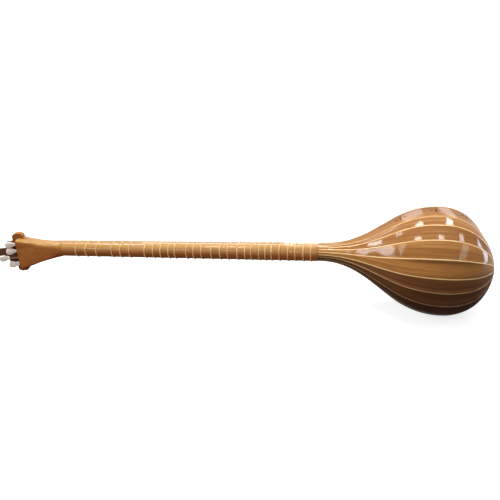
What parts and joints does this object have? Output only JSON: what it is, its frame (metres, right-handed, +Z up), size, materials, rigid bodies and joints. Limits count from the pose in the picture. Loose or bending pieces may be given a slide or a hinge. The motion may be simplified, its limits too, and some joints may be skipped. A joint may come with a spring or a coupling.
{
  "type": "setar",
  "caption": "Long-necked lute with a deep ribbed pear-shaped bowl, a flat soundboard, tied gut frets and a flared head with worm-geared tuners.",
  "frame": {"origin": "the middle of the part's base: the point of the floor under the middle of its box, as it lies on its side", "axes": "+X along the neck from the bowl to the head, +Y from the soundboard towards the back of the bowl, +Z up, towards the bass string's side"},
  "size_m": [0.8408, 0.142, 0.15],
  "materials": {
    "rib_wood": "glossy clear varnish over brown ribs",
    "neck_wood": "satin, with visible grain",
    "board_wood": "thin matt finish",
    "head_wood": "satin",
    "dark_wood": "satin",
    "block_wood": "bare",
    "bridge_wood": "waxed",
    "bone": "polished bone",
    "button_white": "pearly white",
    "gut": "translucent twisted gut",
    "brass": "drawn wire and turned posts",
    "steel": "drawn wire"
  },
  "bodies": {
    "frame": {"side_rib_lower": "rib_wood", "rib_1": "rib_wood", "rib_2": "rib_wood", "rib_3": "rib_wood", "rib_4": "rib_wood", "rib_5_centre": "rib_wood", "rib_6": "rib_wood", "rib_7": "rib_wood", "rib_8": "rib_wood", "rib_9": "rib_wood", "side_rib_upper": "rib_wood", "soundboard": "board_wood", "neck_block": "block_wood", "end_block": "block_wood", "string_holder": "bone", "pegbox": "head_wood", "head_plate": "dark_wood", "neck": "neck_wood", "nut": "bone", "bridge": "bridge_wood", "string_bass": "brass", "string_drone": "brass", "string_middle": "steel", "string_treble": "steel"},
    "tuner_key_1_body": {"tuner_key_1": "button_white"},
    "tuner_key_2_body": {"tuner_key_2": "button_white"},
    "tuner_key_3_body": {"tuner_key_3": "button_white"},
    "tuner_key_4_body": {"tuner_key_4": "button_white"},
    "tuner_post_1_body": {"tuner_post_1": "brass"},
    "tuner_post_2_body": {"tuner_post_2": "brass"},
    "tuner_post_3_body": {"tuner_post_3": "brass"},
    "tuner_post_4_body": {"tuner_post_4": "brass"},
    "fret_01_body": {"fret_01": "gut"},
    "fret_02_body": {"fret_02": "gut"},
    "fret_03_body": {"fret_03": "gut"},
    "fret_04_body": {"fret_04": "gut"},
    "fret_05_body": {"fret_05": "gut"},
    "fret_06_body": {"fret_06": "gut"},
    "fret_07_body": {"fret_07": "gut"},
    "fret_08_body": {"fret_08": "gut"},
    "fret_09_body": {"fret_09": "gut"},
    "fret_10_body": {"fret_10": "gut"},
    "fret_11_body": {"fret_11": "gut"},
    "fret_12_body": {"fret_12": "gut"},
    "fret_13_body": {"fret_13": "gut"},
    "fret_14_body": {"fret_14": "gut"},
    "fret_15_body": {"fret_15": "gut"},
    "fret_16_body": {"fret_16": "gut"},
    "fret_17_body": {"fret_17": "gut"},
    "fret_18_body": {"fret_18": "gut"},
    "fret_19_body": {"fret_19": "gut"},
    "fret_20_body": {"fret_20": "gut"},
    "fret_21_body": {"fret_21": "gut"},
    "fret_22_body": {"fret_22": "gut"},
    "fret_23_body": {"fret_23": "gut"},
    "fret_24_body": {"fret_24": "gut"},
    "fret_25_body": {"fret_25": "gut"},
    "fret_26_body": {"fret_26": "gut"},
    "fret_27_body": {"fret_27": "gut"},
    "fret_28_body": {"fret_28": "gut"}
  },
  "joints": [
    {"name": "key_turn_1", "type": "hinge", "parent": "frame", "child": "tuner_key_1_body", "pos_m": [0.37103, -0.02006, 0.09358], "axis": [0.9598, 0.2807, 0], "continuous": true},
    {"name": "key_turn_2", "type": "hinge", "parent": "frame", "child": "tuner_key_2_body", "pos_m": [0.37103, -0.02006, 0.08118], "axis": [0.9598, 0.2807, 0], "continuous": true},
    {"name": "key_turn_3", "type": "hinge", "parent": "frame", "child": "tuner_key_3_body", "pos_m": [0.37103, -0.02006, 0.06878], "axis": [0.9598, 0.2807, 0], "continuous": true},
    {"name": "key_turn_4", "type": "hinge", "parent": "frame", "child": "tuner_key_4_body", "pos_m": [0.37103, -0.02006, 0.05638], "axis": [0.9598, 0.2807, 0], "continuous": true},
    {"name": "post_turn_1", "type": "hinge", "parent": "frame", "child": "tuner_post_1_body", "pos_m": [0.36143, -0.02286, 0.08778], "axis": [-0.2807, 0.9598, 0], "continuous": true},
    {"name": "post_turn_2", "type": "hinge", "parent": "frame", "child": "tuner_post_2_body", "pos_m": [0.33351, -0.03103, 0.07538], "axis": [-0.2807, 0.9598, 0], "continuous": true},
    {"name": "post_turn_3", "type": "hinge", "parent": "frame", "child": "tuner_post_3_body", "pos_m": [0.34787, -0.02683, 0.07458], "axis": [-0.2807, 0.9598, 0], "continuous": true},
    {"name": "post_turn_4", "type": "hinge", "parent": "frame", "child": "tuner_post_4_body", "pos_m": [0.36143, -0.02286, 0.06218], "axis": [-0.2807, 0.9598, 0], "continuous": true},
    {"name": "fret_slide_01", "type": "slide", "parent": "frame", "child": "fret_01_body", "axis": [1, 0, 0], "range_m": [-0.003, 0.003]},
    {"name": "fret_slide_02", "type": "slide", "parent": "frame", "child": "fret_02_body", "axis": [1, 0, 0], "range_m": [-0.003, 0.003]},
    {"name": "fret_slide_03", "type": "slide", "parent": "frame", "child": "fret_03_body", "axis": [1, 0, 0], "range_m": [-0.003, 0.003]},
    {"name": "fret_slide_04", "type": "slide", "parent": "frame", "child": "fret_04_body", "axis": [1, 0, 0], "range_m": [-0.003, 0.003]},
    {"name": "fret_slide_05", "type": "slide", "parent": "frame", "child": "fret_05_body", "axis": [1, 0, 0], "range_m": [-0.003, 0.003]},
    {"name": "fret_slide_06", "type": "slide", "parent": "frame", "child": "fret_06_body", "axis": [1, 0, 0], "range_m": [-0.003, 0.003]},
    {"name": "fret_slide_07", "type": "slide", "parent": "frame", "child": "fret_07_body", "axis": [1, 0, 0], "range_m": [-0.003, 0.003]},
    {"name": "fret_slide_08", "type": "slide", "parent": "frame", "child": "fret_08_body", "axis": [1, 0, 0], "range_m": [-0.003, 0.003]},
    {"name": "fret_slide_09", "type": "slide", "parent": "frame", "child": "fret_09_body", "axis": [1, 0, 0], "range_m": [-0.003, 0.003]},
    {"name": "fret_slide_10", "type": "slide", "parent": "frame", "child": "fret_10_body", "axis": [1, 0, 0], "range_m": [-0.003, 0.003]},
    {"name": "fret_slide_11", "type": "slide", "parent": "frame", "child": "fret_11_body", "axis": [1, 0, 0], "range_m": [-0.003, 0.003]},
    {"name": "fret_slide_12", "type": "slide", "parent": "frame", "child": "fret_12_body", "axis": [1, 0, 0], "range_m": [-0.003, 0.003]},
    {"name": "fret_slide_13", "type": "slide", "parent": "frame", "child": "fret_13_body", "axis": [1, 0, 0], "range_m": [-0.003, 0.003]},
    {"name": "fret_slide_14", "type": "slide", "parent": "frame", "child": "fret_14_body", "axis": [1, 0, 0], "range_m": [-0.003, 0.003]},
    {"name": "fret_slide_15", "type": "slide", "parent": "frame", "child": "fret_15_body", "axis": [1, 0, 0], "range_m": [-0.003, 0.003]},
    {"name": "fret_slide_16", "type": "slide", "parent": "frame", "child": "fret_16_body", "axis": [1, 0, 0], "range_m": [-0.003, 0.003]},
    {"name": "fret_slide_17", "type": "slide", "parent": "frame", "child": "fret_17_body", "axis": [1, 0, 0], "range_m": [-0.003, 0.003]},
    {"name": "fret_slide_18", "type": "slide", "parent": "frame", "child": "fret_18_body", "axis": [1, 0, 0], "range_m": [-0.003, 0.003]},
    {"name": "fret_slide_19", "type": "slide", "parent": "frame", "child": "fret_19_body", "axis": [1, 0, 0], "range_m": [-0.003, 0.003]},
    {"name": "fret_slide_20", "type": "slide", "parent": "frame", "child": "fret_20_body", "axis": [1, 0, 0], "range_m": [-0.003, 0.003]},
    {"name": "fret_slide_21", "type": "slide", "parent": "frame", "child": "fret_21_body", "axis": [1, 0, 0], "range_m": [-0.003, 0.003]},
    {"name": "fret_slide_22", "type": "slide", "parent": "frame", "child": "fret_22_body", "axis": [1, 0, 0], "range_m": [-0.003, 0.003]},
    {"name": "fret_slide_23", "type": "slide", "parent": "frame", "child": "fret_23_body", "axis": [1, 0, 0], "range_m": [-0.003, 0.003]},
    {"name": "fret_slide_24", "type": "slide", "parent": "frame", "child": "fret_24_body", "axis": [1, 0, 0], "range_m": [-0.003, 0.003]},
    {"name": "fret_slide_25", "type": "slide", "parent": "frame", "child": "fret_25_body", "axis": [1, 0, 0], "range_m": [-0.003, 0.003]},
    {"name": "fret_slide_26", "type": "slide", "parent": "frame", "child": "fret_26_body", "axis": [1, 0, 0], "range_m": [-0.003, 0.003]},
    {"name": "fret_slide_27", "type": "slide", "parent": "frame", "child": "fret_27_body", "axis": [1, 0, 0], "range_m": [-0.003, 0.003]},
    {"name": "fret_slide_28", "type": "slide", "parent": "frame", "child": "fret_28_body", "axis": [1, 0, 0], "range_m": [-0.003, 0.003]}
  ],
  "couplings": [
    {"joint": "post_turn_1", "follows": "key_turn_1", "ratio": -0.083333},
    {"joint": "post_turn_2", "follows": "key_turn_2", "ratio": -0.083333},
    {"joint": "post_turn_3", "follows": "key_turn_3", "ratio": 0.083333},
    {"joint": "post_turn_4", "follows": "key_turn_4", "ratio": 0.083333}
  ]
}
